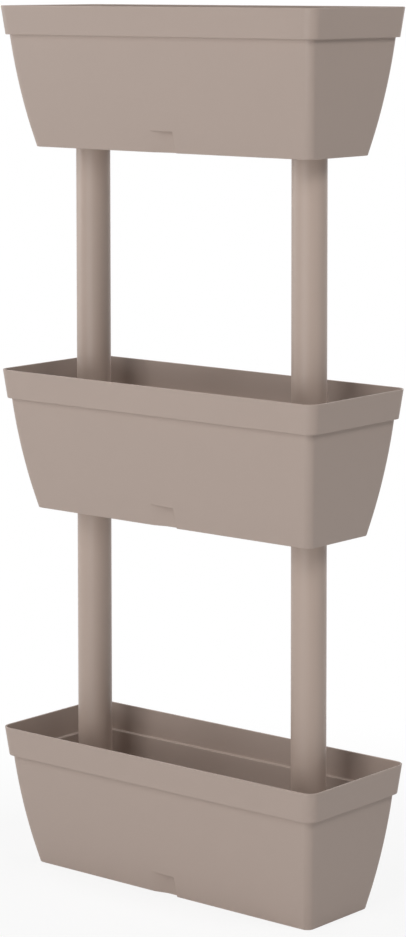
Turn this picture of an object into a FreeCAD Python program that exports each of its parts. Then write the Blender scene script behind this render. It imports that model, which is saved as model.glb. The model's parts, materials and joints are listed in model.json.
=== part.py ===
"""Vertical planter tower: three moulded troughs stacked on two pairs of round tubes.

Millimetres. X runs along the troughs, the front is at -Y and +Z is up.
The origin is at the middle of the lower trough's footprint, on the floor.
"""
import FreeCAD, Part
import math
import os

# Trough, outside sizes
TROUGH_HEIGHT = 205.5
RIM_LENGTH = 584.0
RIM_DEPTH = 218.5
BAND_HEIGHT = 42.0
BAND_END_DRAFT = 5.5
BAND_SIDE_DRAFT = 3.8
BAND_STEP = 6.3
BODY_END_DRAFT = 24.7
BODY_SIDE_DRAFT = 30.65
END_WALL_BULGE = 2.6
SIDE_WALL_BULGE = 3.2
WALL_SEGMENTS = 4
BAND_CORNER_RADIUS = 17.5
WALL = 2.5
RIM_EASING = 0.8

# Trough floor
FLOOR_LIFT = 8.0
FLOOR_THICKNESS = 2.5
FLOOR_COVE = 4.0
FLOOR_RIB_THICKNESS = 2.0
FLOOR_RIB_GROUND_GAP = 1.5
CROSS_RIB_PITCH = 60.0
DRAIN_SLOT_LENGTH = 26.0
DRAIN_SLOT_WIDTH = 6.0
DRAIN_ROW_SPACING = 66.0

# Clip recess at the foot of both long walls
RECESS_WIDTH = 34.0
RECESS_HEIGHT = 28.0
RECESS_DEPTH = 3.5

# Tubes and the sleeves that hold them
TUBE_DIAMETER = 50.0
TUBE_WALL = 1.8
TUBE_LENGTH = 528.0
TUBE_END_DISTANCE = 91.0
TUBE_CLEARANCE = 0.4
SEAT_GAP = 0.3
SLEEVE_WALL = 2.5
SLEEVE_HEIGHT = 98.0
MOUTH_CHAMFER = 1.2
STOP_HEIGHT = 45.0
STOP_THICKNESS = 3.0
GUSSET_THICKNESS = 2.2
GUSSET_HEIGHT = 44.0
GUSSET_RUN = 16.0

# Caps that close the upper trough's sleeves
CAP_CLEARANCE = 0.3
CAP_OVERHANG = 1.6
CAP_THICKNESS = 2.4
CAP_SPIGOT_DEPTH = 14.0
CAP_FIN_THICKNESS = 2.0
CAP_GRIP_WIDTH = 5.0
CAP_GRIP_HEIGHT = 6.0
CAP_GRIP_INSET = 6.0

# Sizes that follow from those above
HALF_BAND_FOOT_LENGTH = RIM_LENGTH / 2 - BAND_END_DRAFT
HALF_BAND_FOOT_DEPTH = RIM_DEPTH / 2 - BAND_SIDE_DRAFT
HALF_BODY_LENGTH = HALF_BAND_FOOT_LENGTH - BAND_STEP
HALF_BODY_DEPTH = HALF_BAND_FOOT_DEPTH - BAND_STEP
HALF_BASE_LENGTH = HALF_BODY_LENGTH - BODY_END_DRAFT
HALF_BASE_DEPTH = HALF_BODY_DEPTH - BODY_SIDE_DRAFT
BAND_FOOT_Z = TROUGH_HEIGHT - BAND_HEIGHT
SHELF_Z = BAND_FOOT_Z + WALL
BODY_CORNER_RADIUS = BAND_CORNER_RADIUS - BAND_STEP
FLOOR_TOP = FLOOR_LIFT + FLOOR_THICKNESS
TUBE_RADIUS = TUBE_DIAMETER / 2
BORE_RADIUS = TUBE_RADIUS + TUBE_CLEARANCE
SLEEVE_RADIUS = BORE_RADIUS + SLEEVE_WALL
STOP_TOP = STOP_HEIGHT + STOP_THICKNESS
TUBE_X = RIM_LENGTH / 2 - TUBE_END_DISTANCE
BAY_COUNT = int(2 * (TUBE_X - SLEEVE_RADIUS) // CROSS_RIB_PITCH)
TIER_PITCH = STOP_THICKNESS + TUBE_LENGTH + 2 * SEAT_GAP
SIDES = {"left": -TUBE_X, "right": TUBE_X}
TIERS = {"lower": 0.0, "middle": TIER_PITCH, "upper": 2 * TIER_PITCH}
OVERSHOOT = 1.0

UP = FreeCAD.Vector(0, 0, 1)


class WallProfile:
    """One pair of walls seen edge on: half the width against height, on a line or an arc."""

    def __init__(self, half_low, half_high, z_low, z_high, bulge=0.0):
        self.half_low = half_low
        self.half_high = half_high
        self.z_low = z_low
        self.z_high = z_high
        run = half_high - half_low
        rise = z_high - z_low
        chord = math.hypot(run, rise)
        self.lean = rise / chord
        self.radius = None
        if bulge > 0:
            self.radius = chord * chord / (8 * bulge) + bulge / 2
            reach = self.radius - bulge
            self.centre_half = (half_low + half_high) / 2 - reach * rise / chord
            self.centre_z = (z_low + z_high) / 2 + reach * run / chord

    def half_at(self, z, inset):
        """Half width at a height, on the surface that lies inset below the wall's outside."""
        if self.radius is None:
            share = (z - self.z_low) / (self.z_high - self.z_low)
            surface = self.half_low + share * (self.half_high - self.half_low)
            return surface - inset / self.lean
        drop = z - self.centre_z
        return self.centre_half + math.sqrt((self.radius - inset) ** 2 - drop * drop)


class Section:
    """Rounded rectangle at one height: four corner arcs with straight runs between them."""

    def __init__(self, half_length, half_depth, radius, z):
        self.starts = []
        self.ends = []
        self.arcs = []
        for corner, (side_x, side_y) in enumerate(((1, 1), (-1, 1), (-1, -1), (1, -1))):
            x = side_x * (half_length - radius)
            y = side_y * (half_depth - radius)
            turns = (math.radians(90 * corner + turn) for turn in (0, 45, 90))
            points = [
                FreeCAD.Vector(x + radius * math.cos(a), y + radius * math.sin(a), z)
                for a in turns
            ]
            self.starts.append(points[0])
            self.ends.append(points[2])
            self.arcs.append(Part.Arc(*points).toShape())

    def face(self):
        """Flat face that fills the section."""
        edges = []
        for corner in range(4):
            run = Part.LineSegment(self.ends[corner], self.starts[(corner + 1) % 4])
            edges.extend((self.arcs[corner], run.toShape()))
        return Part.Face(Part.Wire(edges))


def skin(sections):
    """Solid whose sides join each section to the next."""
    faces = [sections[0].face(), sections[-1].face()]
    for low, high in zip(sections, sections[1:]):
        for corner in range(4):
            faces.append(Part.makeRuledSurface(low.arcs[corner], high.arcs[corner]))
            after = (corner + 1) % 4
            quad = [low.ends[corner], low.starts[after], high.starts[after], high.ends[corner]]
            faces.append(Part.Face(Part.makePolygon(quad + quad[:1])))
    shell = Part.Shell(faces)
    shell.sewShape()
    solid = Part.Solid(shell)
    if solid.Volume < 0:
        solid.reverse()
    return solid


BODY_ENDS = WallProfile(HALF_BASE_LENGTH, HALF_BODY_LENGTH, 0, BAND_FOOT_Z, END_WALL_BULGE)
BODY_SIDES = WallProfile(HALF_BASE_DEPTH, HALF_BODY_DEPTH, 0, BAND_FOOT_Z, SIDE_WALL_BULGE)
BAND_ENDS = WallProfile(HALF_BAND_FOOT_LENGTH, RIM_LENGTH / 2, BAND_FOOT_Z, TROUGH_HEIGHT)
BAND_SIDES = WallProfile(HALF_BAND_FOOT_DEPTH, RIM_DEPTH / 2, BAND_FOOT_Z, TROUGH_HEIGHT)


def body_section(z, inset=0.0):
    """Section of the trough's body, inset below its outside."""
    radius = BODY_CORNER_RADIUS - inset
    return Section(BODY_ENDS.half_at(z, inset), BODY_SIDES.half_at(z, inset), radius, z)


def band_section(z, inset=0.0):
    """Section of the rim band, inset below its outside."""
    radius = BAND_CORNER_RADIUS - inset
    return Section(BAND_ENDS.half_at(z, inset), BAND_SIDES.half_at(z, inset), radius, z)


def body_sections(z_low, z_high, inset=0.0):
    """Sections that follow the body's curved walls between two heights."""
    step = (z_high - z_low) / WALL_SEGMENTS
    return [body_section(z_low + step * index, inset) for index in range(WALL_SEGMENTS + 1)]


def foot_block(z_low, z_high, inset):
    """Solid inside the foot of the body's walls, too low for them to curve."""
    return skin([body_section(z_low, inset), body_section(z_high, inset)])


def centred_box(length, depth, z_low, z_high, x=0.0):
    """Box centred on the trough's middle line between two heights."""
    corner = FreeCAD.Vector(x - length / 2, -depth / 2, z_low)
    return Part.makeBox(length, depth, z_high - z_low, corner)


def cylinder(radius, z_low, z_high, x=0.0):
    """Upright cylinder on the row of tubes."""
    return Part.makeCylinder(radius, z_high - z_low, FreeCAD.Vector(x, 0, z_low), UP)


def trough_outside():
    """Outer form: convex tapered body with the wider band round its rim."""
    sections = body_sections(0, BAND_FOOT_Z)
    sections.append(band_section(BAND_FOOT_Z))
    sections.append(band_section(TROUGH_HEIGHT - RIM_EASING))
    sections.append(band_section(TROUGH_HEIGHT, RIM_EASING))
    return skin(sections)


def trough_inside():
    """Planting space: the wall keeps its thickness through the step under the band."""
    sections = [body_section(FLOOR_TOP, WALL + FLOOR_COVE)]
    sections += body_sections(FLOOR_TOP + FLOOR_COVE, SHELF_Z, WALL)
    sections.append(band_section(SHELF_Z, WALL))
    sections.append(band_section(TROUGH_HEIGHT - RIM_EASING, WALL))
    sections.append(band_section(TROUGH_HEIGHT, WALL - RIM_EASING))
    sections.append(band_section(TROUGH_HEIGHT + OVERSHOOT, WALL - RIM_EASING))
    return skin(sections)


def recess_pocket(depth, margin):
    """Space in front of a recess's back face, on both long walls."""
    top = RECESS_HEIGHT + margin
    zone = centred_box(RECESS_WIDTH + 2 * margin, 2 * RIM_DEPTH, -OVERSHOOT, top)
    return zone.cut(foot_block(-2 * OVERSHOOT, top + OVERSHOOT, depth))


def recess_backing():
    """Wall behind the recesses, as thick as the rest of the trough's wall."""
    depth = RECESS_DEPTH + WALL
    return recess_pocket(depth, WALL).common(foot_block(0, RECESS_HEIGHT + depth, 0))


def floor_ribs():
    """Ribs under the raised floor, one along it and the others across it."""
    low = FLOOR_RIB_GROUND_GAP
    high = FLOOR_LIFT + FLOOR_THICKNESS / 2
    ribs = [centred_box(2 * (TUBE_X - SLEEVE_RADIUS), FLOOR_RIB_THICKNESS, low, high)]
    for index in range(BAY_COUNT + 1):
        x = (index - BAY_COUNT / 2) * CROSS_RIB_PITCH
        ribs.append(centred_box(FLOOR_RIB_THICKNESS, 2 * HALF_BASE_DEPTH, low, high, x))
    return ribs[0].fuse(ribs[1:]).common(foot_block(0, FLOOR_TOP, WALL / 2))


def gussets(x):
    """Two tapering webs that brace one sleeve along the trough."""
    z = FLOOR_TOP - FLOOR_THICKNESS / 2
    inner = BORE_RADIUS + SLEEVE_WALL / 2
    foot = SLEEVE_RADIUS + GUSSET_RUN
    outline = ((inner, z), (foot, z), (foot, FLOOR_TOP + WALL), (inner, FLOOR_TOP + GUSSET_HEIGHT))
    webs = []
    for side in (-1, 1):
        points = [FreeCAD.Vector(x + side * r, -GUSSET_THICKNESS / 2, h) for r, h in outline]
        web = Part.Face(Part.makePolygon(points + points[:1]))
        webs.append(web.extrude(FreeCAD.Vector(0, GUSSET_THICKNESS, 0)))
    return webs


def sleeve_bores(x):
    """Sockets below and above the stop of one sleeve, the upper one with a chamfered mouth."""
    wide = BORE_RADIUS + MOUTH_CHAMFER
    chamfer_foot = FreeCAD.Vector(x, 0, SLEEVE_HEIGHT - MOUTH_CHAMFER)
    return [
        cylinder(BORE_RADIUS, -OVERSHOOT, STOP_HEIGHT, x),
        cylinder(BORE_RADIUS, STOP_TOP, SLEEVE_HEIGHT + OVERSHOOT, x),
        Part.makeCone(BORE_RADIUS, wide, MOUTH_CHAMFER, chamfer_foot, UP),
    ]


def drain_slots():
    """A slot each side of the middle rib in every bay between two cross ribs."""
    slots = []
    for bay in range(BAY_COUNT):
        x = (bay - (BAY_COUNT - 1) / 2) * CROSS_RIB_PITCH
        for side in (-1, 1):
            slot = centred_box(DRAIN_SLOT_LENGTH, DRAIN_SLOT_WIDTH, FLOOR_LIFT, FLOOR_TOP, x)
            slot.translate(FreeCAD.Vector(0, side * DRAIN_ROW_SPACING / 2, 0))
            slots.append(slot)
    return slots


def trough():
    """One trough moulding, standing at the origin."""
    under_floor = foot_block(-OVERSHOOT, FLOOR_LIFT, WALL)
    shell = trough_outside().cut([trough_inside(), under_floor])
    added = [recess_backing(), floor_ribs()]
    for x in SIDES.values():
        added.append(cylinder(SLEEVE_RADIUS, FLOOR_LIFT, SLEEVE_HEIGHT, x))
        added.extend(gussets(x))
    removed = [recess_pocket(RECESS_DEPTH, 0)] + drain_slots()
    for x in SIDES.values():
        removed.extend(sleeve_bores(x))
    return shell.fuse(added).cut(removed).removeSplitter()


def tube():
    """One tube, standing on a stop of the trough at the origin."""
    low = STOP_TOP + SEAT_GAP
    high = low + TUBE_LENGTH
    bore = cylinder(TUBE_RADIUS - TUBE_WALL, low - OVERSHOOT, high + OVERSHOOT)
    return cylinder(TUBE_RADIUS, low, high).cut(bore)


def socket_cap():
    """Cap on the mouth of a sleeve of the trough at the origin: disc, crossed fins and pull bar."""
    seat = SLEEVE_HEIGHT + SEAT_GAP
    top = seat + CAP_THICKNESS
    middle = seat + CAP_THICKNESS / 2
    flange = SLEEVE_RADIUS + CAP_OVERHANG
    fin_span = 2 * (BORE_RADIUS - CAP_CLEARANCE)
    foot = seat - CAP_SPIGOT_DEPTH
    bar_length = 2 * (flange - CAP_GRIP_INSET)
    return cylinder(flange, seat, top).fuse([
        centred_box(fin_span, CAP_FIN_THICKNESS, foot, middle),
        centred_box(CAP_FIN_THICKNESS, fin_span, foot, middle),
        centred_box(bar_length, CAP_GRIP_WIDTH, middle, top + CAP_GRIP_HEIGHT),
    ])


def placed(shape, x, z):
    """Copy of a piece moved along the row of tubes and up."""
    copy = shape.copy()
    copy.translate(FreeCAD.Vector(x, 0, z))
    return copy


def tower():
    """Every piece of the tower by name."""
    pieces = {}
    moulding = trough()
    for tier, z in TIERS.items():
        pieces[f"{tier}_trough"] = placed(moulding, 0, z)
    pipe = tube()
    for tier, foot in (("lower", "lower"), ("upper", "middle")):
        for side, x in SIDES.items():
            pieces[f"{tier}_{side}_tube"] = placed(pipe, x, TIERS[foot])
    cap = socket_cap()
    for side, x in SIDES.items():
        pieces[f"{side}_socket_cap"] = placed(cap, x, TIERS["upper"])
    return pieces


def main():
    """Write one file for each piece."""
    os.makedirs("parts", exist_ok=True)
    for name, shape in tower().items():
        solids = shape.Solids
        print(name, len(solids), "solid", "valid" if shape.isValid() else "NOT VALID")
        solids[0].exportStep(f"parts/{name}.step")


main()
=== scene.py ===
"""Vertical planter tower: three moulded troughs stacked on two pairs of round tubes.

Metres, in the frame's own axes: X runs along the troughs, the front is at -Y and +Z is up.
The sizes that the frame shows are read from it, and the rest are fields of the pieces.
"""
import json
import logging
import math
from dataclasses import dataclass
from enum import Enum
from itertools import pairwise
from typing import Any, Callable, Sequence

import bmesh
import bpy
from mathutils import Matrix, Vector

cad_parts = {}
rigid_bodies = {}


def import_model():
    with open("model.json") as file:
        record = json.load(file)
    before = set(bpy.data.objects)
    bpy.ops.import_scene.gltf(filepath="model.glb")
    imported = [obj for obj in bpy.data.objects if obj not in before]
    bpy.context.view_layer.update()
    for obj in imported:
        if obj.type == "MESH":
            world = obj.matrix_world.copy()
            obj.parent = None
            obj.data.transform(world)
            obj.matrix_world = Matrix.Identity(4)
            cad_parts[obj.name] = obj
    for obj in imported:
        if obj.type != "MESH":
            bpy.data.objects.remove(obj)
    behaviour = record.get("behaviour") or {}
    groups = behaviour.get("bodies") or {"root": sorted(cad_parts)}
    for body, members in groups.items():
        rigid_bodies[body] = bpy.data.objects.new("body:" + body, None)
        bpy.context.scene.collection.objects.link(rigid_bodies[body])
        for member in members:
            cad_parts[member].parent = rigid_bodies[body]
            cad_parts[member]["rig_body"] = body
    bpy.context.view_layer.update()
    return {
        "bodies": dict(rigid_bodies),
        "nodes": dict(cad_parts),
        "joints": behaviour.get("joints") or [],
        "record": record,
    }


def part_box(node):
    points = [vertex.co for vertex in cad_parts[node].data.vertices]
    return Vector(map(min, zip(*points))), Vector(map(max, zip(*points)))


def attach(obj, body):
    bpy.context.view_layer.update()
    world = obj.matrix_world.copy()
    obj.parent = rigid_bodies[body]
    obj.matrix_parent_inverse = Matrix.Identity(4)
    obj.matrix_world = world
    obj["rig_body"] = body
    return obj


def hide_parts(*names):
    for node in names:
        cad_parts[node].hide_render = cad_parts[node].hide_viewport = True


LOG = logging.getLogger("planter")
MM = 0.001
# Places closer than the first count as the same, and points closer than the second are merged
NEAR = 0.05 * MM
TOUCHING = 0.005 * MM
# A face looks along an axis when its normal's part along it is larger than this
FACING = 0.9
# Angle in degrees past which an edge stays sharp in a smooth surface
CREASE = 28.0
ROUND_SIDES = 96
# Factors for red, green and blue, which bring every plastic to the warmth that the photograph shows
WARMTH = (1.01, 0.985, 0.957)
WHITE = (1.0, 1.0, 1.0, 1.0)
PLASTIC_IOR = 1.46
NOISE_ROUGHNESS = 0.55

Point = tuple[float, float, float]
Colour = tuple[float, float, float, float]
PlaceTest = Callable[[Vector], bool]
FaceTest = Callable[[Vector, Vector], bool]


class Tier(Enum):
    """The three troughs, from the ground up."""

    LOWER = "lower"
    MIDDLE = "middle"
    UPPER = "upper"


class Side(Enum):
    """The two ends of the row of tubes, as the front shows them."""

    LEFT = "left"
    RIGHT = "right"


class Slot(Enum):
    """Material slots of the record."""

    TROUGH = "trough_plastic"
    TUBE = "tube_plastic"
    CAP = "cap_plastic"


class Cut(Enum):
    """How one solid changes another."""

    JOIN = "UNION"
    TAKE_AWAY = "DIFFERENCE"


class Workpiece:
    """A mesh that is shaped in edit mode, with what each operator acts on chosen by its place."""

    def __init__(self, name: str) -> None:
        """Take over the primitive that was just added.

        Args:
            name: the piece's name, given to the object and its mesh.
        """
        self.body: bpy.types.Object = bpy.context.active_object
        bpy.ops.object.transform_apply(location=True, rotation=True, scale=True)
        self.body.name = name
        self.body.data.name = name

    @classmethod
    def plate(cls, name: str, half_x: float, half_y: float, centre: Point = (0, 0, 0)) -> "Workpiece":
        """Start from a flat rectangle.

        Args:
            name: the piece's name.
            half_x: half its length.
            half_y: half its depth.
            centre: its middle.

        Returns:
            The new piece.
        """
        bpy.ops.object.select_all(action="DESELECT")
        bpy.ops.mesh.primitive_plane_add(size=2, location=centre)
        bpy.context.active_object.scale = (half_x, half_y, 1)
        return cls(name)

    @classmethod
    def disc(cls, name: str, radius: float, centre: Point, sides: int = ROUND_SIDES) -> "Workpiece":
        """Start from a flat round face.

        Args:
            name: the piece's name.
            radius: the disc's radius.
            centre: its middle.
            sides: how many edges stand for the circle.

        Returns:
            The new piece.
        """
        bpy.ops.object.select_all(action="DESELECT")
        bpy.ops.mesh.primitive_circle_add(vertices=sides, radius=radius, fill_type="NGON", location=centre)
        return cls(name)

    @classmethod
    def block(cls, name: str, low: Point, high: Point) -> "Workpiece":
        """Start from a box between two corners.

        Args:
            name: the piece's name.
            low: its lowest corner.
            high: its highest corner.

        Returns:
            The new piece.
        """
        bpy.ops.object.select_all(action="DESELECT")
        centre = (Vector(low) + Vector(high)) / 2
        bpy.ops.mesh.primitive_cube_add(size=1, location=centre)
        bpy.context.active_object.scale = Vector(high) - Vector(low)
        return cls(name)

    def __enter__(self) -> "Workpiece":
        """Open the piece in edit mode, alone."""
        self.alone()
        bpy.ops.object.mode_set(mode="EDIT")
        bpy.ops.mesh.select_mode(type="VERT")
        return self

    def __exit__(self, *_: Any) -> None:
        """Go back to object mode."""
        bpy.ops.object.mode_set(mode="OBJECT")

    def alone(self) -> None:
        """Make this the only selected object, and the active one."""
        bpy.ops.object.select_all(action="DESELECT")
        self.body.select_set(True)
        bpy.context.view_layer.objects.active = self.body

    def all(self) -> None:
        """Select the whole mesh."""
        bpy.ops.mesh.select_all(action="SELECT")

    def vertices(self, test: PlaceTest) -> None:
        """Select the vertices in view whose place passes a test."""
        self._choose("VERT", lambda mesh: [v for v in mesh.verts if not v.hide and test(v.co)])

    def edges(self, test: Callable[[bmesh.types.BMEdge], bool]) -> None:
        """Select the edges that pass a test."""
        self._choose("EDGE", lambda mesh: [e for e in mesh.edges if test(e)])

    def faces(self, test: FaceTest) -> None:
        """Select the faces whose centre and normal pass a test."""
        self._choose("FACE", lambda mesh: [f for f in mesh.faces if test(f.calc_center_median(), f.normal)])

    def _choose(self, kind: str, wanted: Callable[[bmesh.types.BMesh], list]) -> None:
        """Select just some elements of one kind.

        Args:
            kind: the selection mode.
            wanted: lists the elements to select.
        """
        bpy.ops.mesh.select_mode(type=kind)
        bpy.ops.mesh.select_all(action="DESELECT")
        mesh = bmesh.from_edit_mesh(self.body.data)
        mesh.normal_update()
        for element in wanted(mesh):
            element.select_set(True)
        mesh.select_flush_mode()
        bmesh.update_edit_mesh(self.body.data)

    def extrude(self, move: Point) -> None:
        """Extrude what is selected, and move the new end."""
        bpy.ops.mesh.extrude_region_move(TRANSFORM_OT_translate={"value": move})

    def move(self, move: Point) -> None:
        """Move what is selected."""
        bpy.ops.transform.translate(value=move)

    def scale(self, factors: Point, centre: Point) -> None:
        """Scale what is selected about a point, with one factor for each axis."""
        bpy.ops.transform.resize(value=factors, center_override=centre)

    def inset(self, thickness: float) -> None:
        """Inset the selected faces as one region, by how far its outline moves in."""
        bpy.ops.mesh.inset(thickness=thickness, use_even_offset=True)

    def round_corners(self, radius: float, steps: int) -> None:
        """Turn the selected vertices of a flat face into arcs of so many edges."""
        bpy.ops.mesh.bevel(offset=radius, offset_type="OFFSET", segments=steps, affect="VERTICES")

    def outward(self) -> None:
        """Merge doubles and point every face outwards."""
        with self:
            self.all()
            bpy.ops.mesh.remove_doubles(threshold=TOUCHING)
            bpy.ops.mesh.normals_make_consistent(inside=False)

    def close_slivers(self) -> None:
        """Merge the points that joining solids leaves almost on top of each other."""
        with self:
            self.all()
            bpy.ops.mesh.remove_doubles(threshold=TOUCHING)
            bpy.ops.mesh.dissolve_degenerate(threshold=TOUCHING)

    def modify(self, kind: str, **settings: Any) -> None:
        """Add a modifier and apply it.

        Args:
            kind: the modifier's type.
            settings: its properties.
        """
        self.alone()
        modifier = self.body.modifiers.new(kind.title(), kind)
        for key, value in settings.items():
            setattr(modifier, key, value)
        bpy.ops.object.modifier_apply(modifier=modifier.name)

    def ease_edges(self, radius: float, steps: int = 3, sharper_than: float = 30.0) -> None:
        """Round every edge that is sharper than an angle in degrees, with so many faces."""
        angle = math.radians(sharper_than)
        self.modify("BEVEL", width=radius, segments=steps, limit_method="ANGLE", angle_limit=angle)

    def repeat(self, count: int, offset: Point) -> None:
        """Repeat the piece in a row of so many, each an offset from the one before."""
        ways = {"use_relative_offset": False, "use_constant_offset": True}
        self.modify("ARRAY", count=count, constant_offset_displace=offset, **ways)

    def combine(self, other: "Workpiece", cut: Cut) -> None:
        """Join another solid to this one or take it away, and use the other one up."""
        self.modify("BOOLEAN", operation=cut.value, solver="EXACT", object=other.body)
        bpy.data.objects.remove(other.body)

    def copy(self, name: str, move: Point) -> "Workpiece":
        """Copy the piece with a mesh of its own.

        Args:
            name: the copy's name.
            move: how far the copy's mesh is from this one.

        Returns:
            The copy.
        """
        self.alone()
        bpy.ops.object.duplicate(linked=False)
        bpy.context.active_object.location = move
        return Workpiece(name)

    def finish_surface(self) -> None:
        """Shade the piece smooth between its creases, with normals that follow its large faces."""
        self.alone()
        bpy.ops.object.shade_smooth_by_angle(angle=math.radians(CREASE))
        self.modify("WEIGHTED_NORMAL", mode="FACE_AREA", keep_sharp=True)


class Shade:
    """A number inside a material, which Python's operators work on."""

    def __init__(self, bench: "NodeBench", socket: bpy.types.NodeSocket) -> None:
        """Wrap the output socket that gives the number, on the bench that its node stands on."""
        self.bench = bench
        self.socket = socket

    def _maths(self, operation: str, *terms: "Shade | float") -> "Shade":
        """Add a Math node and return what it gives."""
        return self.bench.shade("ShaderNodeMath", {"operation": operation}, dict(enumerate(terms)))

    def __add__(self, other: "Shade | float") -> "Shade":
        """Sum."""
        return self._maths("ADD", self, other)

    def __sub__(self, other: "Shade | float") -> "Shade":
        """Difference."""
        return self._maths("SUBTRACT", self, other)

    def __rsub__(self, other: float) -> "Shade":
        """Difference from a number in front."""
        return self._maths("SUBTRACT", other, self)

    def __mul__(self, other: "Shade | float") -> "Shade":
        """Product."""
        return self._maths("MULTIPLY", self, other)

    __radd__ = __add__
    __rmul__ = __mul__

    def __truediv__(self, other: "Shade | float") -> "Shade":
        """Quotient."""
        return self._maths("DIVIDE", self, other)

    def part_above(self, step: float) -> "Shade":
        """What is left after whole steps are taken away."""
        return self._maths("FLOORED_MODULO", self, step)

    def larger(self, other: "Shade | float") -> "Shade":
        """The larger of the two."""
        return self._maths("MAXIMUM", self, other)

    def angle_with(self, across: "Shade") -> "Shade":
        """Angle of a direction given by two numbers."""
        return self._maths("ARCTAN2", self, across)

    def length_with(self, across: "Shade") -> "Shade":
        """Length of a direction given by two numbers."""
        return self._maths("SQRT", self * self + across * across)

    def ramp(self, low: float, high: float) -> "Shade":
        """Rise smoothly from 0 at low to 1 at high.

        Args:
            low: where the rise starts.
            high: where it ends.

        Returns:
            The share of the rise.
        """
        settings = {"interpolation_type": "SMOOTHSTEP"}
        values = {"Value": self, "From Min": low, "From Max": high}
        return self.bench.shade("ShaderNodeMapRange", settings, values)


class NodeBench:
    """The node tree of a material or of the surroundings, and the ways to add to it."""

    def __init__(self, owner: bpy.types.Material | bpy.types.World, output: str) -> None:
        """Clear the owner's tree.

        Args:
            owner: the material or world.
            output: the type of the node that its last shader goes to.
        """
        owner.use_nodes = True
        owner.node_tree.nodes.clear()
        self.owner = owner
        self.output = output
        self.tree = owner.node_tree

    @classmethod
    def for_material(cls, name: str) -> "NodeBench":
        """Start a material."""
        return cls(bpy.data.materials.new(name), "ShaderNodeOutputMaterial")

    @classmethod
    def for_surroundings(cls, name: str) -> "NodeBench":
        """Start a world and put it round the scene.

        Args:
            name: the world's name.

        Returns:
            The world's bench.
        """
        world = bpy.data.worlds.new(name)
        bpy.context.scene.world = world
        return cls(world, "ShaderNodeOutputWorld")

    def node(self, kind: str, settings: dict[str, Any], inputs: dict[str | int, Any]) -> bpy.types.Node:
        """Add a node, set it up and feed it.

        Args:
            kind: the node's type.
            settings: its properties.
            inputs: the value or link of each socket, by name or number.

        Returns:
            The new node.
        """
        made = self.tree.nodes.new(kind)
        for key, value in settings.items():
            setattr(made, key, value)
        for key, value in inputs.items():
            self.feed(made.inputs[key], value)
        return made

    def feed(self, socket: bpy.types.NodeSocket, value: Any) -> None:
        """Link a socket to a number or another socket, or set its value.

        Args:
            socket: the input.
            value: what it is fed.
        """
        if isinstance(value, Shade):
            value = value.socket
        if isinstance(value, bpy.types.NodeSocket):
            self.tree.links.new(value, socket)
        else:
            socket.default_value = value

    def shade(
        self, kind: str, settings: dict[str, Any], inputs: dict[str | int, Any], output: str | int = 0
    ) -> Shade:
        """Add a node and return the number that one of its outputs gives."""
        return Shade(self, self.node(kind, settings, inputs).outputs[output])

    def place(self) -> bpy.types.NodeSocket:
        """Object coordinates."""
        return self.node("ShaderNodeTexCoord", {}, {}).outputs["Object"]

    def parts_of(self, vector: bpy.types.NodeSocket) -> tuple[Shade, Shade, Shade]:
        """The three numbers of a vector."""
        split = self.node("ShaderNodeSeparateXYZ", {}, {"Vector": vector}).outputs
        return Shade(self, split["X"]), Shade(self, split["Y"]), Shade(self, split["Z"])

    def noise(
        self, vector: bpy.types.NodeSocket, size: float, detail: float = 2.0, stretch: Point = (1, 1, 1)
    ) -> Shade:
        """Soft random variation from 0 to 1.

        Args:
            vector: where it is read.
            size: about how wide one patch is.
            detail: how many finer layers it has.
            stretch: how many times longer the patches are along each axis.

        Returns:
            The variation.
        """
        scale = tuple(1 / (size * factor) for factor in stretch)
        spread = self.node("ShaderNodeMapping", {"vector_type": "POINT"}, {"Vector": vector, "Scale": scale})
        values = {
            "Vector": spread.outputs["Vector"],
            "Scale": 1.0,
            "Detail": detail,
            "Roughness": NOISE_ROUGHNESS,
        }
        return self.shade("ShaderNodeTexNoise", {}, values, "Fac")

    def blend(
        self, share: Shade, first: Colour | bpy.types.NodeSocket, second: Colour | bpy.types.NodeSocket
    ) -> bpy.types.NodeSocket:
        """Mix two colours.

        Args:
            share: how much of the second colour shows.
            first: the colour at 0.
            second: the colour at 1.

        Returns:
            The mixed colour.
        """
        made = self.node("ShaderNodeMix", {"data_type": "RGBA"}, {"Factor": share})
        for name, value in (("A_Color", first), ("B_Color", second)):
            self.feed(next(s for s in made.inputs if s.identifier == name), value)
        return next(s for s in made.outputs if s.identifier == "Result_Color")

    def bump(
        self, height: Shade, distance: float, under: bpy.types.NodeSocket | None = None
    ) -> bpy.types.NodeSocket:
        """Raise the surface by a pattern.

        Args:
            height: the pattern, from 0 to 1.
            distance: how far it rises at 1.
            under: the normal that it is added to, where that isn't the mesh's own.

        Returns:
            The bumped normal.
        """
        inputs = {"Height": height, "Strength": 1.0, "Distance": distance}
        if under is not None:
            inputs["Normal"] = under
        return self.node("ShaderNodeBump", {}, inputs).outputs["Normal"]

    def plastic(
        self, colour: bpy.types.NodeSocket, roughness: Shade, normal: bpy.types.NodeSocket, gloss: float
    ) -> bpy.types.Material:
        """Finish the material as plastic.

        Args:
            colour: its colour.
            roughness: how matt it is.
            normal: its bumped normal.
            gloss: how strongly it reflects, where 0.5 is usual.

        Returns:
            The finished material.
        """
        inputs = {
            "Base Color": colour,
            "Roughness": roughness,
            "Normal": normal,
            "IOR": PLASTIC_IOR,
            "Specular IOR Level": gloss,
        }
        return self.close(self.node("ShaderNodeBsdfPrincipled", {}, inputs).outputs["BSDF"])

    def rays_that_show(self) -> Shade:
        """Tell the rays that show the background from those that light the tower.

        Returns:
            1 for rays from the camera, in reflections and through clear things, and 0 for the rest.
        """
        rays = self.node("ShaderNodeLightPath", {}, {}).outputs
        camera, glossy, clear = (
            Shade(self, rays[f"Is {kind} Ray"]) for kind in ("Camera", "Glossy", "Transmission")
        )
        return camera.larger(glossy).larger(clear)

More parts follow.
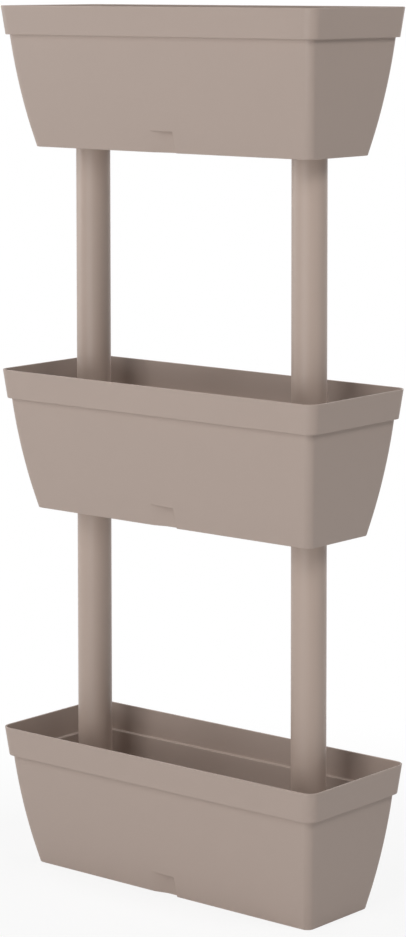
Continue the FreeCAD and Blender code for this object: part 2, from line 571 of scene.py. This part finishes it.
    def close(self, surface: bpy.types.NodeSocket) -> bpy.types.Material | bpy.types.World:
        """Link the last shader to the output, and return the finished material or world."""
        self.node(self.output, {}, {"Surface": surface})
        return self.owner


def round_place(low: Vector, high: Vector) -> tuple[float, float]:
    """Where the axis of an upright round piece is along X, and its radius, from its box's corners."""
    return (low.x + high.x) / 2, (high.x - low.x) / 2


def linear(colour: Sequence[float], factor: float) -> Colour:
    """Turn a colour as a screen shows it into the shader's numbers, warmer and some times lighter."""
    shares = [value / 12.92 if value <= 0.04045 else ((value + 0.055) / 1.055) ** 2.4 for value in colour]
    return (*(share * tint * factor for share, tint in zip(shares, WARMTH)), 1.0)


@dataclass(frozen=True)
class MouldedPlastic:
    """Satin plastic, coloured all through, as it comes out of a trough's mould."""

    name: str
    colour: tuple[float, float, float]
    gloss: float = 0.6
    least_roughness: float = 0.45
    cloud_roughness: float = 0.06
    speck_roughness: float = 0.05
    mottle: float = 0.03
    cloud_size: float = 0.16
    speck_size: float = 2.4 * MM
    speck_share: float = 0.3
    grain_size: float = 0.9 * MM
    grain_height: float = 0.02 * MM
    sink_size: float = 0.09
    sink_height: float = 0.25 * MM
    tier_pitch: float = 0.0
    rim_height: float = 0.0
    highlight_width: float = 2.2 * MM
    highlight_least: float = 0.35
    highlight_patch_size: float = 18 * MM
    highlight_patch_from: float = 0.42
    highlight_patch_full: float = 0.68
    highlight_strength: float = 0.25
    highlight_lightness: float = 1.2
    highlight_polish: float = 0.08

    def material(self) -> bpy.types.Material:
        """Build the material.

        Returns:
            The finished material.
        """
        bench = NodeBench.for_material(self.name)
        vector = bench.place()
        clouds = bench.noise(vector, self.cloud_size, detail=3)
        specks = bench.noise(vector, self.speck_size)
        tone = clouds * (1 - self.speck_share) + specks * self.speck_share
        colour = bench.blend(tone, linear(self.colour, 1 - self.mottle), linear(self.colour, 1 + self.mottle))
        roughness = self.least_roughness + clouds * self.cloud_roughness + specks * self.speck_roughness
        # The top edge of each tier's rim is painted lighter, a painted highlight, and is made a little less
        # rough there.
        if self.tier_pitch:
            painted_rim_highlight = self.painted_rim_highlight(bench, vector)
            colour = bench.blend(painted_rim_highlight * self.highlight_strength, colour, linear(self.colour, self.highlight_lightness))
            roughness = roughness - painted_rim_highlight * self.highlight_polish
        return bench.plastic(colour, roughness, self.relief(bench, vector), self.gloss)

    def painted_rim_highlight(self, bench: NodeBench, vector: bpy.types.NodeSocket) -> Shade:
        """Painted highlight along the top edge of every tier's rim, in patches.

        Args:
            bench: the material's bench.
            vector: where the patterns are read.

        Returns:
            How strong the painted highlight is, from 0 to 1.
        """
        along_tier = bench.parts_of(vector)[2].part_above(self.tier_pitch)
        top = along_tier.ramp(self.rim_height - self.highlight_width, self.rim_height)
        clouds = bench.noise(vector, self.highlight_patch_size, detail=3)
        patches = clouds.ramp(self.highlight_patch_from, self.highlight_patch_full)
        return top * (self.highlight_least + (1 - self.highlight_least) * patches)

    def relief(self, bench: NodeBench, vector: bpy.types.NodeSocket) -> bpy.types.NodeSocket:
        """Fine mould grain over the faint waves that cooling leaves, as a bumped normal."""
        waves = bench.bump(bench.noise(vector, self.sink_size, detail=1), self.sink_height)
        return bench.bump(bench.noise(vector, self.grain_size), self.grain_height, waves)


@dataclass(frozen=True)
class ExtrudedPlastic:
    """Plastic tube drawn through a die, which leaves faint lines along it in its bump and roughness; their
    colour streaks are painted reflection bands.
    """

    name: str
    colour: tuple[float, float, float]
    tube_x: float
    lightness: float = 1.2
    mottle: float = 0.05
    gloss: float = 0.5
    least_roughness: float = 0.38
    line_roughness: float = 0.08
    line_count: float = 9.0
    line_stretch: float = 60.0
    line_height: float = 0.05 * MM
    cloud_size: float = 0.12
    cloud_share: float = 0.35
    speck_size: float = 2.0 * MM
    speck_share: float = 0.15

    def material(self) -> bpy.types.Material:
        """Build the material.

        Returns:
            The finished material.
        """
        bench = NodeBench.for_material(self.name)
        vector = bench.place()
        x, y, z = bench.parts_of(vector)
        turn = self.from_axis(x).angle_with(y)
        spread = bench.node("ShaderNodeCombineXYZ", {}, {"X": turn, "Y": z, "Z": 0.0}).outputs["Vector"]
        die_lines_and_painted_bands = bench.noise(spread, 1 / self.line_count, detail=3, stretch=(1, self.line_stretch, 1))
        clouds = bench.noise(vector, self.cloud_size)
        specks = bench.noise(vector, self.speck_size)
        # The colour streaks along the die lines are painted reflection bands.
        painted_band_share = 1 - self.cloud_share - self.speck_share
        tone = die_lines_and_painted_bands * painted_band_share + clouds * self.cloud_share + specks * self.speck_share
        darkest = linear(self.colour, (1 - self.mottle) * self.lightness)
        lightest = linear(self.colour, (1 + self.mottle) * self.lightness)
        roughness = self.least_roughness + die_lines_and_painted_bands * self.line_roughness
        relief = bench.bump(die_lines_and_painted_bands, self.line_height)
        return bench.plastic(bench.blend(tone, darkest, lightest), roughness, relief, self.gloss)

    def from_axis(self, x: Shade) -> Shade:
        """Distance along X from the nearer tube's axis."""
        return x.part_above(2 * self.tube_x) - self.tube_x


@dataclass
class WallArc:
    """One pair of walls seen edge on: half the width against height, on an arc that bulges out."""

    half_low: float
    half_high: float
    height: float
    bulge: float

    def half_at(self, z: float) -> float:
        """Half the width at a height.

        Args:
            z: the height over the walls' foot.

        Returns:
            Half the distance between the walls' outsides.
        """
        run = self.half_high - self.half_low
        chord = math.hypot(run, self.height)
        radius = chord * chord / (8 * self.bulge) + self.bulge / 2
        reach = radius - self.bulge
        centre = (self.half_low + self.half_high) / 2 - reach * self.height / chord
        drop = z - self.height / 2 - reach * run / chord
        return centre + math.sqrt(radius * radius - drop * drop)


@dataclass
class Trough:
    """Trough moulding: thin tapered walls with a wider band round the rim, a raised floor and two sleeves."""

    height: float
    rim_length: float
    rim_depth: float
    tube_x: float
    tube_radius: float
    band_height: float = 42 * MM
    band_end_draft: float = 5.5 * MM
    band_side_draft: float = 3.8 * MM
    band_step: float = 6.3 * MM
    band_corner: float = 17.5 * MM
    body_end_draft: float = 24.7 * MM
    body_side_draft: float = 30.65 * MM
    end_bulge: float = 2.6 * MM
    side_bulge: float = 3.2 * MM
    wall: float = 2.5 * MM
    easing: float = 0.8 * MM
    inner_easing: float = 0.4 * MM
    wall_steps: int = 14
    corner_steps: int = 10
    recess_width: float = 34 * MM
    recess_height: float = 30.5 * MM
    recess_depth: float = 5.2 * MM
    recess_top_depth: float = 9 * MM
    ramp_length: float = 20 * MM
    ramp_reach: float = 8 * MM
    floor_lift: float = 8 * MM
    floor_thickness: float = 2.5 * MM
    floor_edge_share: float = 0.9
    cove: float = 4 * MM
    cove_steps: int = 5
    rib_thickness: float = 2 * MM
    rib_gap: float = 1.5 * MM
    rib_pitch: float = 60 * MM
    slot_length: float = 26 * MM
    slot_width: float = 6 * MM
    slot_corner: float = 1.8 * MM
    slot_corner_steps: int = 5
    slot_rows: float = 66 * MM
    tube_clearance: float = 0.4 * MM
    sleeve_height: float = 98 * MM
    mouth_chamfer: float = 1.2 * MM
    stop_height: float = 45 * MM
    stop_thickness: float = 3 * MM
    gusset_thickness: float = 2.2 * MM
    gusset_height: float = 44 * MM
    gusset_run: float = 16 * MM

    def __post_init__(self) -> None:
        """Work out the sizes that follow from the fields."""
        self.band_foot = self.height - self.band_height
        self.body_corner = self.band_corner - self.band_step
        half_length = self.rim_length / 2 - self.band_end_draft - self.band_step
        half_depth = self.rim_depth / 2 - self.band_side_draft - self.band_step
        self.ends = WallArc(half_length - self.body_end_draft, half_length, self.band_foot, self.end_bulge)
        self.sides = WallArc(half_depth - self.body_side_draft, half_depth, self.band_foot, self.side_bulge)
        self.floor_top = self.floor_lift + self.floor_thickness
        self.bore = self.tube_radius + self.tube_clearance
        self.sleeve_radius = self.bore + self.wall
        self.bays = int(2 * (self.tube_x - self.sleeve_radius) // self.rib_pitch)

    def build(self) -> Workpiece:
        """Model the whole moulding, standing at the origin.

        Returns:
            The finished piece.
        """
        trough = self.walls()
        trough.combine(self.floor(), Cut.JOIN)
        for side in (-1, 1):
            trough.combine(self.sleeve(side * self.tube_x), Cut.JOIN)
            for way in (-1, 1):
                trough.combine(self.gusset(side * self.tube_x, way), Cut.JOIN)
        trough.close_slivers()
        trough.finish_surface()
        return trough

    def walls(self) -> Workpiece:
        """Model the walls, band and recesses, with their thickness and eased edges.

        Returns:
            The walls, open at the top and the bottom.
        """
        skin = self.outer_skin()
        self.press_recesses(skin)
        skin.outward()
        skin.modify("SOLIDIFY", thickness=self.wall, offset=-1.0, use_even_offset=True, use_rim=True)
        with skin:
            skin.vertices(lambda p: p.z > self.height - self.wall / 2)
            skin.scale((1, 1, 0), (0, 0, self.height))
            skin.vertices(lambda p: p.z < self.wall / 2)
            skin.scale((1, 1, 0), (0, 0, 0))
        skin.ease_edges(self.easing)
        return skin

    def outer_skin(self) -> Workpiece:
        """Raise the outside of the walls ring by ring from the footprint.

        Returns:
            The outside, as an open skin.
        """
        skin = Workpiece.plate("trough", self.ends.half_at(0), self.sides.half_at(0))
        with skin:
            skin.all()
            skin.round_corners(self.body_corner, self.corner_steps)
            for side in (-1, 1):
                skin.all()
                recess_end = (side * self.recess_width / 2, 0, 0)
                bpy.ops.mesh.bisect(plane_co=recess_end, plane_no=(1, 0, 0))
            skin.edges(lambda edge: edge.is_boundary)
            skin.extrude((0, 0, self.recess_height))
            self.widen(skin, 0, self.recess_height)
            heights = [
                self.recess_height + (self.band_foot - self.recess_height) * step / self.wall_steps
                for step in range(self.wall_steps + 1)
            ]
            for low, high in pairwise(heights):
                skin.vertices(lambda p: p.z > low - NEAR)
                skin.extrude((0, 0, high - low))
                self.widen(skin, low, high)
            self.step_out(skin)
            skin.all()
            skin.extrude((0, 0, self.band_height))
            self.spread(skin, self.height, self.band_end_draft, self.band_side_draft)
            bpy.ops.mesh.reveal(select=False)
            skin.faces(lambda centre, _: centre.z < NEAR)
            bpy.ops.mesh.delete(type="FACE")
            skin.edges(lambda edge: not edge.link_faces)
            bpy.ops.mesh.delete(type="EDGE")
        return skin

    def widen(self, skin: Workpiece, low: float, high: float) -> None:
        """Spread the top ring along the walls' arcs.

        Args:
            skin: the walls so far.
            low: the height of the ring below.
            high: the height of the top ring.
        """
        length = self.ends.half_at(high) - self.ends.half_at(low)
        depth = self.sides.half_at(high) - self.sides.half_at(low)
        self.spread(skin, high, length, depth)

    def spread(self, skin: Workpiece, z: float, length: float, depth: float) -> None:
        """Move the four quarters of the ring at a height apart, which keeps its corners' radius.

        Args:
            skin: the walls so far.
            z: the ring's height.
            length: how far each end moves out.
            depth: how far each side moves out.
        """
        past_recess = self.recess_width / 2 + NEAR
        for way in (-1, 1):
            skin.vertices(lambda p: p.z > z - NEAR and way * p.x > past_recess)
            skin.move((way * length, 0, 0))
            skin.vertices(lambda p: p.z > z - NEAR and way * p.y > 0)
            skin.move((0, way * depth, 0))

    def step_out(self, skin: Workpiece) -> None:
        """Turn the top ring out into the flat ledge under the band, with concentric corners.

        Only the new ring stays in view, for the band to be raised from.

        Args:
            skin: the walls so far.
        """
        skin.vertices(lambda p: p.z > self.band_foot - NEAR)
        skin.extrude((0, 0, 0))
        bpy.ops.mesh.hide(unselected=True)
        corner_x = self.ends.half_high - self.body_corner
        corner_y = self.sides.half_high - self.body_corner
        growth = self.band_corner / self.body_corner
        for way_x in (-1, 1):
            for way_y in (-1, 1):
                skin.vertices(lambda p: way_x * p.x > corner_x - NEAR and way_y * p.y > corner_y - NEAR)
                centre = (way_x * corner_x, way_y * corner_y, self.band_foot)
                skin.scale((growth, growth, 1), centre)
        for way in (-1, 1):
            skin.vertices(lambda p: abs(p.x) < self.recess_width and way * p.y > 0)
            skin.move((0, way * self.band_step, 0))

    def press_recesses(self, skin: Workpiece) -> None:
        """Press the clip recess into the foot of both long walls.

        It is open at the bottom, deepest at the top, and has a ramp at its left.

        Args:
            skin: the outside of the walls.
        """
        for way in (-1, 1):
            with skin:
                skin.faces(
                    lambda centre, _: abs(centre.x) < self.recess_width / 2 - NEAR
                    and way * centre.y > 0
                    and centre.z < self.recess_height
                )
                skin.extrude((0, -way * self.recess_depth, 0))
                skin.vertices(lambda p: self.at_recess_left(p, way) and self.is_pressed(p, way))
                skin.move((self.ramp_length - self.ramp_reach, 0, 0))
                skin.vertices(lambda p: self.at_recess_left(p, way))
                skin.move((-self.ramp_reach, 0, 0))
                skin.vertices(lambda p: abs(p.z - self.recess_height) < NEAR and self.is_pressed(p, way))
                skin.move((0, way * (self.recess_depth - self.recess_top_depth), 0))
                skin.faces(lambda centre, normal: centre.z < NEAR and abs(normal.z) > FACING)
                bpy.ops.mesh.delete(type="FACE")

    def at_recess_left(self, place: Vector, way: int) -> bool:
        """Whether a place is at the left edge that a recess in a long wall, -1 or 1, starts with."""
        at_edge = abs(place.x + self.recess_width / 2) < NEAR
        return at_edge and place.z < self.recess_height + NEAR and way * place.y > 0

    def is_pressed(self, place: Vector, way: int) -> bool:
        """Whether a place is a recess's own, behind the outside of a long wall, -1 or 1."""
        in_reach = abs(place.x) < self.recess_width / 2 + NEAR
        return in_reach and 0 < way * place.y < self.sides.half_at(place.z) - self.recess_depth / 2

    def recess_depth_at(self, z: float) -> float:
        """How deep the recess is at a height."""
        return self.recess_depth + (self.recess_top_depth - self.recess_depth) * z / self.recess_height

    def floor(self) -> Workpiece:
        """Model the raised floor with its cove, drain slots, sleeve holes and the ribs under it.

        Returns:
            The floor, whose edge lies inside the walls' thickness.
        """
        mid = self.wall / 2
        low = self.floor_lift
        top = self.floor_top + self.cove
        half_length, half_depth = (walls.half_at(low) - mid for walls in (self.ends, self.sides))
        pan = Workpiece.plate("floor", half_length, half_depth, (0, 0, low))
        with pan:
            pan.all()
            pan.round_corners(self.body_corner - mid, self.corner_steps)
            pan.all()
            pan.extrude((0, 0, top - low))
            self.widen(pan, low, top)
            pan.vertices(lambda p: p.z > top - NEAR)
            bpy.ops.mesh.select_mode(type="FACE")
            pan.inset(mid * self.floor_edge_share)
            angles = [math.radians(90 * step / self.cove_steps) for step in range(self.cove_steps + 1)]
            for before, after in pairwise(angles):
                run = self.cove * (math.cos(before) - math.cos(after))
                drop = self.cove * (math.sin(after) - math.sin(before))
                pan.inset(run)
                pan.move((0, 0, -drop))
        pan.outward()
        pan.combine(self.slot_cutters(), Cut.TAKE_AWAY)
        for way in (-1, 1):
            pan.combine(self.recess_cutter(way), Cut.TAKE_AWAY)
        for side in (-1, 1):
            hole = Workpiece.disc("hole", self.bore + mid, (side * self.tube_x, 0, 0))
            with hole:
                hole.all()
                hole.extrude((0, 0, self.sleeve_height))
            hole.outward()
            pan.combine(hole, Cut.TAKE_AWAY)
        for rib in self.ribs():
            pan.combine(rib, Cut.JOIN)
        return pan

    def recess_cutter(self, way: int) -> Workpiece:
        """Cutter that ends the floor inside the wall behind a recess.

        Args:
            way: the long wall that it is for, -1 or 1.

        Returns:
            The cutter.
        """
        low = self.floor_lift - self.wall
        high = self.floor_top + self.cove + self.wall
        half = self.recess_width / 2
        depth = self.recess_depth_at(self.floor_top)
        back = depth + self.wall / 2
        inner = way * (self.sides.half_at(low) - back)
        outer = way * (self.sides.half_at(low) + self.wall)
        near, far = sorted((inner, outer))
        cutter = Workpiece.block("recess", (-half, near, low), (half + self.wall / 2, far, high))
        with cutter:
            cutter.vertices(lambda p: p.x < 0 and abs(p.y - inner) < NEAR)
            cutter.move((self.ramp_length - self.ramp_reach, 0, 0))
            cutter.vertices(lambda p: p.x < 0 and abs(p.y - outer) < NEAR)
            run = self.ramp_length * (back + self.wall) / depth
            cutter.move((self.ramp_length - self.ramp_reach - run, 0, 0))
            cutter.vertices(lambda p: p.z > high - NEAR)
            cutter.move((0, way * (self.sides.half_at(high) - self.sides.half_at(low)), 0))
        return cutter

    def slot_cutters(self) -> Workpiece:
        """Model the cutters of the drain slots: one beside the middle rib on each side, in every bay.

        Returns:
            The cutters.
        """
        first = (-(self.bays - 1) / 2 * self.rib_pitch, -self.slot_rows / 2, self.floor_lift - self.wall)
        cutter = Workpiece.plate("slot", self.slot_length / 2, self.slot_width / 2, first)
        with cutter:
            cutter.all()
            cutter.round_corners(self.slot_corner, self.slot_corner_steps)
            cutter.all()
            cutter.extrude((0, 0, self.floor_thickness + 2 * self.wall))
        cutter.outward()
        cutter.repeat(self.bays, (self.rib_pitch, 0, 0))
        cutter.repeat(2, (0, self.slot_rows, 0))
        return cutter

    def ribs(self) -> list[Workpiece]:
        """Model the ribs under the floor.

        Returns:
            The one along the floor, and those across it.
        """
        low = self.rib_gap
        high = self.floor_lift + self.floor_thickness / 2
        half = self.rib_thickness / 2
        reach = self.tube_x - self.sleeve_radius
        along = Workpiece.block("rib", (-reach, -half, low), (reach, half, high))
        foot = self.sides.half_at(low) - self.wall / 2
        head = self.sides.half_at(high) - self.wall / 2
        first = -self.bays / 2 * self.rib_pitch
        across = Workpiece.block("rib", (first - half, -foot, low), (first + half, foot, high))
        with across:
            across.vertices(lambda p: p.z > high - NEAR)
            across.scale((1, head / foot, 1), (first, 0, high))
        across.repeat(self.bays + 1, (self.rib_pitch, 0, 0))
        return [along, across]

    def sleeve(self, x: float) -> Workpiece:
        """Upright sleeve with a socket from below, a closed stop and a socket from above.

        Args:
            x: where its axis stands.

        Returns:
            The sleeve.
        """
        sleeve = Workpiece.disc("sleeve", self.sleeve_radius, (x, 0, self.floor_lift))
        stop_top = self.stop_height + self.stop_thickness
        with sleeve:
            sleeve.all()
            sleeve.extrude((0, 0, self.sleeve_height - self.floor_lift))
            sleeve.faces(lambda centre, _: centre.z > self.sleeve_height - NEAR)
            sleeve.inset(self.wall - self.mouth_chamfer)
            sleeve.inset(self.mouth_chamfer)
            sleeve.move((0, 0, -self.mouth_chamfer))
            sleeve.extrude((0, 0, stop_top - self.sleeve_height + self.mouth_chamfer))
            sleeve.faces(lambda centre, _: centre.z < self.floor_lift + NEAR)
            sleeve.inset(self.wall)
            sleeve.extrude((0, 0, self.stop_height - self.floor_lift))
        sleeve.outward()
        sleeve.ease_edges(self.inner_easing, steps=2, sharper_than=40)
        return sleeve

    def gusset(self, x: float, way: int) -> Workpiece:
        """Tapering web that braces a sleeve along the trough.

        Args:
            x: where the sleeve's axis stands.
            way: the side of the sleeve it is on, -1 or 1.

        Returns:
            The web.
        """
        inner = x + way * (self.bore + self.wall / 2)
        outer = x + way * (self.sleeve_radius + self.gusset_run)
        half = self.gusset_thickness / 2
        low = self.floor_top - self.floor_thickness / 2
        top = self.floor_top + self.gusset_height
        ends = sorted((inner, outer))
        web = Workpiece.block("gusset", (ends[0], -half, low), (ends[1], half, top))
        with web:
            web.vertices(lambda p: p.z > top - NEAR and abs(p.x - outer) < NEAR)
            web.move((0, 0, self.floor_top + self.wall - top))
        web.ease_edges(self.inner_easing, steps=2, sharper_than=40)
        return web


@dataclass
class Tube:
    """Round extruded tube that carries the next trough."""

    low: Vector
    high: Vector
    wall: float = 1.8 * MM
    easing: float = 0.3 * MM
    sides: int = 128

    def build(self, name: str) -> Workpiece:
        """Model the tube where the frame has it.

        Args:
            name: the piece's name.

        Returns:
            The finished piece.
        """
        x, radius = round_place(self.low, self.high)
        tube = Workpiece.disc(name, radius, (x, 0, self.low.z), self.sides)
        with tube:
            tube.all()
            bpy.ops.mesh.select_mode(type="FACE")
            tube.inset(self.wall)
            bpy.ops.mesh.delete(type="FACE")
            tube.all()
            tube.extrude((0, 0, self.high.z - self.low.z))
        tube.outward()
        tube.ease_edges(self.easing, steps=2)
        tube.finish_surface()
        return tube


@dataclass
class SocketCap:
    """Push-in cap: a disc with a pull bar on top and crossed fins below."""

    low: Vector
    high: Vector
    bore: float
    thickness: float = 2.4 * MM
    bar_height: float = 6 * MM
    bar_width: float = 5 * MM
    bar_inset: float = 6 * MM
    bar_taper: Point = (0.94, 0.8, 1)
    fin: float = 2 * MM
    fin_taper: Point = (0.93, 0.93, 1)
    clearance: float = 0.3 * MM
    disc_easing: float = 0.7 * MM
    bar_easing: float = 1.0 * MM
    fin_easing: float = 0.4 * MM

    def build(self, name: str) -> Workpiece:
        """Model the cap where the frame has it.

        Args:
            name: the piece's name.

        Returns:
            The finished piece.
        """
        x, radius = round_place(self.low, self.high)
        seat = self.high.z - self.bar_height - self.thickness
        middle = seat + self.thickness / 2
        cap = Workpiece.disc(name, radius, (x, 0, seat))
        with cap:
            cap.all()
            cap.extrude((0, 0, self.thickness))
        cap.outward()
        cap.ease_edges(self.disc_easing)
        cap.combine(self.bar(x, radius - self.bar_inset, middle), Cut.JOIN)
        cap.combine(self.fins(x, self.bore - self.clearance, middle), Cut.JOIN)
        cap.finish_surface()
        return cap

    def bar(self, x: float, reach: float, foot: float) -> Workpiece:
        """Model the pull bar, which narrows towards its top.

        Args:
            x: where the cap's axis stands.
            reach: half the bar's length.
            foot: the height that it starts from.

        Returns:
            The bar.
        """
        half = self.bar_width / 2
        bar = Workpiece.block("bar", (x - reach, -half, foot), (x + reach, half, self.high.z))
        with bar:
            bar.vertices(lambda p: p.z > foot + NEAR)
            bar.scale(self.bar_taper, (x, 0, self.high.z))
        bar.ease_edges(self.bar_easing)
        return bar

    def fins(self, x: float, reach: float, head: float) -> Workpiece:
        """Model the crossed fins, which narrow towards their foot.

        Args:
            x: where the cap's axis stands.
            reach: half a fin's width.
            head: the height that they end at.

        Returns:
            The fins.
        """
        half = self.fin / 2
        fins = Workpiece.block("fin", (x - reach, -half, self.low.z), (x + reach, half, head))
        across = Workpiece.block("fin", (x - half, -reach, self.low.z), (x + half, reach, head))
        fins.combine(across, Cut.JOIN)
        with fins:
            fins.vertices(lambda p: p.z < self.low.z + NEAR)
            fins.scale(self.fin_taper, (x, 0, self.low.z))
        fins.ease_edges(self.fin_easing, steps=2)
        return fins


@dataclass
class PhotoCamera:
    """Camera that stands where the photograph was taken from."""

    place: Point = (2.7254, -3.2324, 1.3143)
    azimuth: float = 40.042
    tilt: float = 4.32
    roll: float = -0.049
    lens: float = 114.45
    film_width: float = 36.0
    shift: float = -0.288

    def build(self) -> None:
        """Add the camera and make it the scene's."""
        turn = Matrix.Rotation(math.radians(self.azimuth), 4, "Z")
        tilt = Matrix.Rotation(math.radians(90 - self.tilt), 4, "X")
        roll = Matrix.Rotation(math.radians(self.roll), 4, "Z")
        data = bpy.data.cameras.new("photo_camera")
        data.lens = self.lens
        data.sensor_width = self.film_width
        data.shift_y = self.shift
        camera = bpy.data.objects.new("photo_camera", data)
        bpy.context.scene.collection.objects.link(camera)
        camera.matrix_world = Matrix.Translation(self.place) @ turn @ tilt @ roll
        bpy.context.scene.camera = camera


@dataclass
class Softbox:
    """Square lamp that faces the tower."""

    name: str
    place: Point
    power: float
    width: float = 1.2
    aim: Point = (0, 0, 0.65)

    def build(self) -> None:
        """Add the lamp."""
        data = bpy.data.lights.new(self.name, "AREA")
        data.shape = "SQUARE"
        data.size = self.width
        data.energy = self.power
        lamp = bpy.data.objects.new(self.name, data)
        lamp.location = self.place
        facing = Vector(self.aim) - Vector(self.place)
        lamp.rotation_euler = facing.to_track_quat("-Z", "Y").to_euler()
        bpy.context.scene.collection.objects.link(lamp)


@dataclass
class Studio:
    """White floor and surroundings, and soft light from the front, the left, the right and behind."""

    foot_half_length: float
    foot_half_depth: float
    floor_reach: float = 14.0
    floor_colour: float = 0.9
    sky_light: float = 0.12
    shadow_keep: float = 0.15
    fade_start: float = 0.35
    fade_end: float = 1.0
    dark_until: float = 0.8
    light_from: float = 0.95

    def build(self) -> None:
        """Add the floor, the world and the lamps."""
        floor = Workpiece.disc("floor", self.floor_reach, (0, 0, 0)).body
        floor.data.materials.append(self.floor_material())
        self.build_world()
        for lamp in (
            Softbox("left_low", (-2.36, -1.1, 1.1), 13.2),
            Softbox("left_high", (-2.6, 0, 3.2), 25.7),
            Softbox("front_low", (0.45, -2.56, 0.35), 19.4),
            Softbox("front_middle", (0.45, -2.56, 2.0), 13.2),
            Softbox("front_high", (0.45, -2.56, 3.2), 17.5),
            Softbox("right_high", (2.6, 0, 3.2), 37.3),
            Softbox("behind", (0, 2.8, 2.0), 25.0),
        ):
            lamp.build()
        bpy.context.scene.view_settings.view_transform = "Standard"

    def floor_material(self) -> bpy.types.Material:
        """Make the floor show white, keep a share of the tower's shadow near it and stay dark under it.

        Returns:
            The finished material.
        """
        bench = NodeBench.for_material("studio_floor")
        x, y, _ = bench.parts_of(bench.place())
        away = x.length_with(y).ramp(self.fade_start, self.fade_end)
        across_foot = (x / self.foot_half_length).length_with(y / self.foot_half_depth)
        outside = across_foot.ramp(self.dark_until, self.light_from)
        white = bench.rays_that_show() * outside * (1 - (1 - away) * self.shadow_keep)
        grey = (self.floor_colour,) * 3 + (1.0,)
        matt = bench.node("ShaderNodeBsdfDiffuse", {}, {"Color": grey, "Roughness": 0.0})
        shining = bench.node("ShaderNodeEmission", {}, {"Color": WHITE, "Strength": 1.0})
        mixed = bench.node("ShaderNodeMixShader", {}, {0: white, 1: matt.outputs[0], 2: shining.outputs[0]})
        return bench.close(mixed.outputs[0])

    def build_world(self) -> None:
        """White surroundings, which light the tower less than they show."""
        bench = NodeBench.for_surroundings("studio")
        lighting = bench.node("ShaderNodeBackground", {}, {"Color": WHITE, "Strength": self.sky_light})
        shining = bench.node("ShaderNodeBackground", {}, {"Color": WHITE, "Strength": 1.0})
        shaders = {0: bench.rays_that_show(), 1: lighting.outputs[0], 2: shining.outputs[0]}
        bench.close(bench.node("ShaderNodeMixShader", {}, shaders).outputs[0])


class Tower:
    """The whole planter: three troughs, four tubes and two caps."""

    def __init__(self, frame: dict[str, Any]) -> None:
        """Read the sizes and colours from the frame.

        Args:
            frame: what the frame's loading gave.
        """
        self.corners = {name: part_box(name) for name in frame["nodes"]}
        self.body_of = {node.name: node["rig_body"] for node in frame["nodes"].values()}
        self.colours = {row["slot"]: tuple(row["base_color"][:3]) for row in frame["record"]["materials"]}
        low, high = self.corners["lower_trough"]
        tube_x, tube_radius = round_place(*self.corners["lower_right_tube"])
        self.pitch = self.corners["middle_trough"][0].z - low.z
        self.trough = Trough(high.z - low.z, high.x - low.x, high.y - low.y, tube_x, tube_radius)

    def hand_over(self, piece: Workpiece, material: bpy.types.Material) -> None:
        """Dress a piece, let it ride on its body and stand for its node.

        Args:
            piece: the finished piece, named after its node with "shown_" before it.
            material: what it is made of.
        """
        node = piece.body.name.removeprefix("shown_")
        piece.body.data.materials.clear()
        piece.body.data.materials.append(material)
        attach(piece.body, self.body_of[node])
        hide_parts(node)
        LOG.info("%s: %d faces", piece.body.name, len(piece.body.data.polygons))

    def build_troughs(self) -> None:
        """Model the moulding once and copy it to each tier."""
        finish = MouldedPlastic(
            "moulded_taupe",
            self.colours[Slot.TROUGH.value],
            tier_pitch=self.pitch,
            rim_height=self.trough.height,
        ).material()
        moulding = self.trough.build()
        for step, tier in enumerate(Tier):
            copy = moulding.copy(f"shown_{tier.value}_trough", (0, 0, step * self.pitch))
            self.hand_over(copy, finish)
        bpy.data.objects.remove(moulding.body)

    def build_tubes(self) -> None:
        """Model the four tubes."""
        colour = self.colours[Slot.TUBE.value]
        finish = ExtrudedPlastic("extruded_taupe", colour, self.trough.tube_x).material()
        for tier in (Tier.LOWER, Tier.UPPER):
            for side in Side:
                node = f"{tier.value}_{side.value}_tube"
                tube = Tube(*self.corners[node]).build(f"shown_{node}")
                self.hand_over(tube, finish)

    def build_caps(self) -> None:
        """Model the caps of the top sleeves."""
        finish = MouldedPlastic("cap_taupe", self.colours[Slot.CAP.value], cloud_size=0.05).material()
        for side in Side:
            node = f"{side.value}_socket_cap"
            cap = SocketCap(*self.corners[node], self.trough.bore).build(f"shown_{node}")
            self.hand_over(cap, finish)


def main() -> None:
    """Build the tower and its studio."""
    logging.basicConfig(level=logging.INFO, format="%(name)s: %(message)s")
    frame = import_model()
    tower = Tower(frame)
    tower.build_troughs()
    tower.build_tubes()
    tower.build_caps()
    PhotoCamera().build()
    Studio(tower.trough.ends.half_at(0), tower.trough.sides.half_at(0)).build()


if __name__ == "__main__":
    main()
